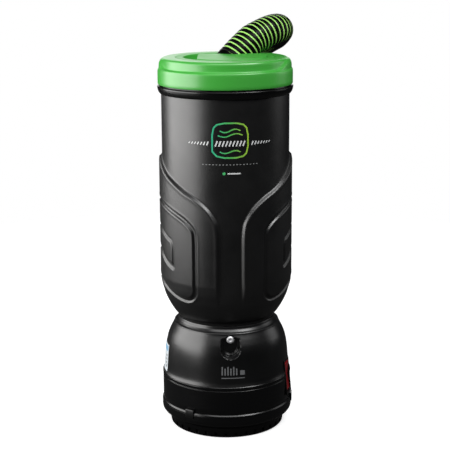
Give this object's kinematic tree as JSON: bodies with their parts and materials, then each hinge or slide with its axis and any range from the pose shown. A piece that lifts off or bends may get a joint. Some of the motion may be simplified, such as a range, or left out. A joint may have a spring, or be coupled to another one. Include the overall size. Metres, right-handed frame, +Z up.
{
  "type": "backpack vacuum cleaner",
  "caption": "Slim canister backpack vacuum: moulded black body on a motor dome and filter foot, twist-off green lid, swivelling corrugated hose and compact back harness.",
  "frame": {"origin": "centre of the foot's flat bottom face", "axes": "+Z up along the canister axis; -Y is the front with the pocket and screw; +X is the side with the power switch; the harness is at +Y"},
  "size_m": [0.2141, 0.8892, 0.6237],
  "materials": {
    "canister_black": "fine grain, satin",
    "housing_black": "satin",
    "trim_black": "semi-gloss",
    "lid_green": "semi-gloss",
    "hose_black": "semi-gloss",
    "cuff_black": "semi-gloss",
    "switch_red": "semi-gloss",
    "label_white": "satin film",
    "rubber_grey": "matt",
    "steel": "zinc plated",
    "lamination": "stamped laminations",
    "alloy": "die cast",
    "copper": "copper",
    "carbon": "carbon block",
    "filter_paper": "paper",
    "filter_cloth": "woven",
    "card": "card",
    "wire_red": "matt",
    "pad_fabric": "mesh cloth",
    "strap_fabric": "padded cloth",
    "frame_black": "moulded"
  },
  "bodies": {
    "vacuum": {"filter_cap": "housing_black", "base_screws": "steel", "base_ring": "housing_black", "base_clips": "steel", "hepa_filter": "filter_paper", "motor_base": "housing_black", "motor_dome": "housing_black", "dome_screw": "steel", "motor_mount_lower": "rubber_grey", "motor_mount_upper": "rubber_grey", "motor_bracket_lower": "alloy", "motor_bracket_upper": "alloy", "motor_bearings": "steel", "stator": "lamination", "carbon_brushes": "carbon", "fan_housing": "alloy", "diffuser": "alloy", "canister": "canister_black", "tank_gasket": "rubber_grey", "dome_filter": "filter_cloth", "filter_grid": "housing_black", "cloth_filter": "filter_cloth", "filter_bag": "filter_paper", "bag_collar": "card", "rim_ring": "trim_black", "switch_bezel": "trim_black", "breaker_body": "trim_black", "rating_label": "label_white", "power_inlet": "rubber_grey", "internal_wiring": "wire_red", "back_frame": "frame_black", "frame_bolts": "steel", "back_pad": "pad_fabric", "lumbar_pad": "pad_fabric", "shoulder_strap_left": "strap_fabric", "shoulder_strap_right": "strap_fabric", "strap_buckles": "trim_black"},
    "seal_carrier": {"seal_plate": "housing_black", "intake_nozzle": "trim_black", "bag_seal": "rubber_grey"},
    "lid": {"lid": "lid_green", "lid_deck": "lid_green", "lid_lock_ring": "lid_green", "lid_gasket": "rubber_grey"},
    "turret": {"swivel_turret": "lid_green", "turret_stem": "lid_green", "turret_bowl": "lid_green", "turret_visor": "lid_green", "turret_retainer": "trim_black", "turret_seal": "rubber_grey", "hose": "hose_black", "hose_end_fitting": "cuff_black"},
    "end_cuff": {"hose_end_cuff": "cuff_black"},
    "rocker": {"power_rocker": "switch_red"},
    "button": {"breaker_button": "switch_red"},
    "rotor": {"motor_shaft": "steel", "armature": "lamination", "commutator": "copper", "fan_impeller": "alloy"}
  },
  "joints": [
    {"name": "lid_lift", "type": "slide", "parent": "vacuum", "child": "seal_carrier", "axis": [0, 0, 1], "range_m": [0, 0.08]},
    {"name": "lid_twist", "type": "hinge", "parent": "seal_carrier", "child": "lid", "pos_m": [0, 0, 0.54], "axis": [0, 0, 1], "range_deg": [-35, 0]},
    {"name": "hose_swivel", "type": "hinge", "parent": "lid", "child": "turret", "pos_m": [0, 0, 0.547], "axis": [0, 0, 1], "continuous": true},
    {"name": "cuff_spin", "type": "hinge", "parent": "turret", "child": "end_cuff", "pos_m": [0.024, 0.73, 0.024], "axis": [0, 1, 0], "continuous": true},
    {"name": "power_switch", "type": "hinge", "parent": "vacuum", "child": "rocker", "pos_m": [0.08739, -0.03181, 0.0776], "axis": [-0.342, -0.9397, 0], "range_deg": [0, 9]},
    {"name": "breaker_reset", "type": "slide", "parent": "vacuum", "child": "button", "axis": [-0.6157, -0.788, 0], "range_m": [0, 0.003], "stiffness_N_per_m": 300},
    {"name": "rotor_spin", "type": "hinge", "parent": "vacuum", "child": "rotor", "pos_m": [0, 0, 0.1], "axis": [0, 0, 1], "continuous": true}
  ]
}
